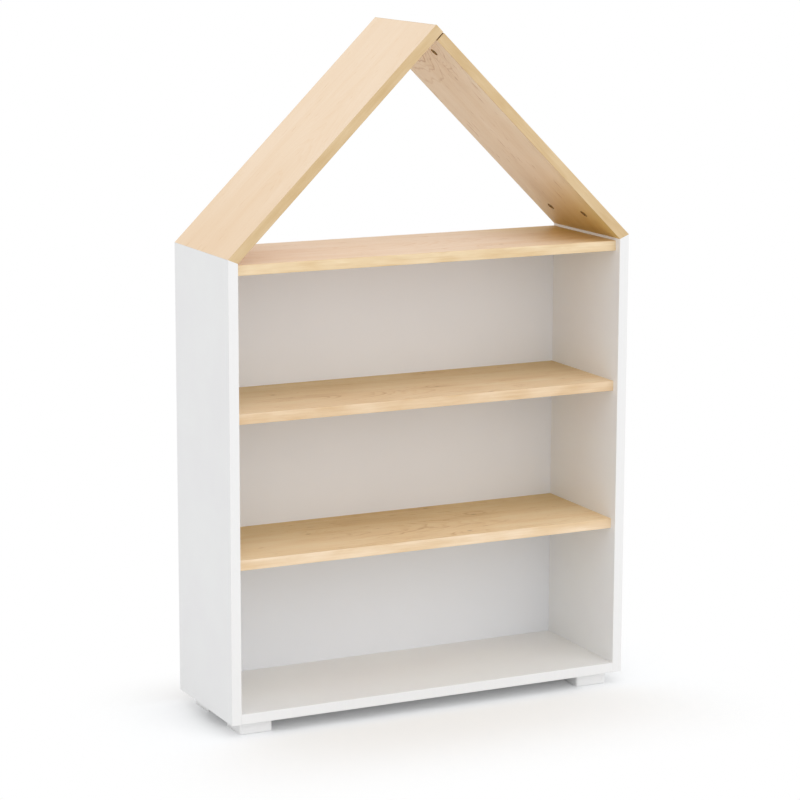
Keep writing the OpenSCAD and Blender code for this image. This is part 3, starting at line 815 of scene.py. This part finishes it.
floorLook = {
    "size": 70.0,           # it ends far outside the picture
    "shadeCentre": (0, -0.1, 0),    # the shade lies more before the case than behind it
    "shadeRun": (0.25, 0.29, 1.0),  # beside and before the case, it runs out to white
    "colour": "#F0F0F0",    # what it throws back on the object
    "seenColour": "#F8F9FA",
    "lift": 0.06,           # plain white seen by the camera, on top of the lit floor
    "underSole": 2 * mm,    # how far the floor reaches under each foot
}


def studioFloor():
    # matt white paper sweep: keeps the soft shadow, runs out to plain white
    material, tree = newMaterial("studio_paper")
    place = addNode(tree, "ShaderNodeNewGeometry")
    footprint = (cadBox[1][0], cadBox[1][1], 0)
    aside = addNode(tree, "ShaderNodeVectorMath", {
        0: place.outputs["Position"], 1: floorLook["shadeCentre"]}, operation="SUBTRACT")
    aside = addNode(tree, "ShaderNodeVectorMath", {0: aside.outputs[0]}, operation="ABSOLUTE")
    aside = addNode(tree, "ShaderNodeVectorMath", {
        0: aside.outputs[0], 1: footprint}, operation="SUBTRACT")
    aside = addNode(tree, "ShaderNodeVectorMath", {
        0: aside.outputs[0], 1: (0, 0, 0)}, operation="MAXIMUM")
    aside = addNode(tree, "ShaderNodeVectorMath", {
        0: aside.outputs[0], 1: floorLook["shadeRun"]}, operation="DIVIDE")
    away = addNode(tree, "ShaderNodeVectorMath", {0: aside.outputs[0]}, operation="LENGTH")
    fade = addNode(tree, "ShaderNodeMapRange", {
        "Value": away.outputs["Value"]}, interpolation_type="SMOOTHSTEP")
    rays = addNode(tree, "ShaderNodeLightPath")
    paper = addNode(tree, "ShaderNodeBsdfDiffuse", {"Color": fromHex(floorLook["colour"])})
    bright = addNode(tree, "ShaderNodeBsdfDiffuse", {"Color": fromHex(floorLook["seenColour"])})
    lift = addNode(tree, "ShaderNodeEmission", {"Strength": floorLook["lift"]})
    near = addNode(tree, "ShaderNodeAddShader", {0: bright.outputs[0], 1: lift.outputs[0]})
    plain = addNode(tree, "ShaderNodeEmission", {"Strength": 1.0})
    seen = addNode(tree, "ShaderNodeMixShader", {
        0: fade.outputs[0], 1: near.outputs[0], 2: plain.outputs[0]})
    surface = addNode(tree, "ShaderNodeMixShader", {
        0: rays.outputs["Is Camera Ray"], 1: paper.outputs[0], 2: seen.outputs[0]})
    clear = addNode(tree, "ShaderNodeBsdfTransparent")
    oneSided = addNode(tree, "ShaderNodeMixShader", {
        0: place.outputs["Backfacing"], 1: surface.outputs[0], 2: clear.outputs[0]})
    addNode(tree, "ShaderNodeOutputMaterial", {"Surface": oneSided.outputs[0]})
    return material


# cells between the lines along the feet, open under the soles, which would look black from below
half = floorLook["size"] / 2
feet = [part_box("foot_front_left"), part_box("foot_rear_right")]
lines = []
for axis in (0, 1):
    cuts = [p[axis] + s * floorLook["underSole"] for box in feet for p, s in zip(box, (1, -1))]
    lines.append([-half, *sorted(cuts), half])
cells = range(len(lines[0]) - 1)
form = bmesh.new()
grid = [[form.verts.new((x, y, 0)) for y in lines[1]] for x in lines[0]]
for i in cells:
    for j in cells:
        underSole = i % 2 == 1 and j % 2 == 1
        if not underSole:
            form.faces.new((grid[i][j], grid[i + 1][j], grid[i + 1][j + 1], grid[i][j + 1]))
floorMesh = bpy.data.meshes.new("studio_floor")
form.to_mesh(floorMesh)
form.free()
floorMesh.materials.append(studioFloor())
floor = bpy.data.objects.new("studio_floor", floorMesh)
scene.collection.objects.link(floor)
print("floor laid")


light = {
    "sky": 0.86,            # even light from all round
    "sun": 0.72,            # big soft lamp, high in front
    "sunSpread": 70,        # degrees, for very soft shadows
    "sunFrom": (0.04, -0.76, 0.65),  # direction from the case to the lamp
}
world = bpy.data.worlds.new("studio")
scene.world = world
world.use_nodes = True
tree = world.node_tree
tree.nodes.clear()
rays = addNode(tree, "ShaderNodeLightPath")
mirrors = addNode(tree, "ShaderNodeMath", {
    0: rays.outputs["Is Camera Ray"], 1: rays.outputs["Is Glossy Ray"]}, operation="MAXIMUM")
mirrors = addNode(tree, "ShaderNodeMath", {
    0: mirrors.outputs[0], 1: rays.outputs["Is Transmission Ray"]}, operation="MAXIMUM")
skyLight = addNode(tree, "ShaderNodeBackground", {
    "Color": (1, 1, 1, 1), "Strength": light["sky"]})
backdrop = addNode(tree, "ShaderNodeBackground", {"Color": (1, 1, 1, 1), "Strength": 1.0})
shown = addNode(tree, "ShaderNodeMixShader", {
    0: mirrors.outputs[0], 1: skyLight.outputs[0], 2: backdrop.outputs[0]})
addNode(tree, "ShaderNodeOutputWorld", {"Surface": shown.outputs[0]})

sunData = bpy.data.lights.new("soft_lamp", "SUN")
sunData.energy = light["sun"]
sunData.angle = math.radians(light["sunSpread"])
sun = bpy.data.objects.new("soft_lamp", sunData)
sun.rotation_mode = "QUATERNION"
sun.rotation_quaternion = Vector(light["sunFrom"]).to_track_quat("Z", "Y")
scene.collection.objects.link(sun)
print("light set")


view = {                    # as fitted to the photograph
    "place": (-2.1368, -4.3666, 1.4869),
    "aside": 26.002,        # degrees to the right of straight ahead
    "down": 11.064,         # degrees below level
    "roll": 0.167,          # degrees
    "lens": 126.49,         # mm, with the sensor's width
    "sensor": 36,
    "reach": 200,           # past the far end of the floor
}
cameraData = bpy.data.cameras.new("photo_camera")
cameraData.lens = view["lens"]
cameraData.sensor_width = view["sensor"]
cameraData.clip_end = view["reach"]
camera = bpy.data.objects.new("photo_camera", cameraData)
camera.location = view["place"]
camera.rotation_mode = "QUATERNION"
facing = Euler((math.radians(90 - view["down"]), 0, math.radians(-view["aside"]))).to_quaternion()
camera.rotation_quaternion = facing @ Quaternion((0, 0, 1), math.radians(view["roll"]))
scene.collection.objects.link(camera)
scene.camera = camera
print("camera placed")

bpy.context.view_layer.update()
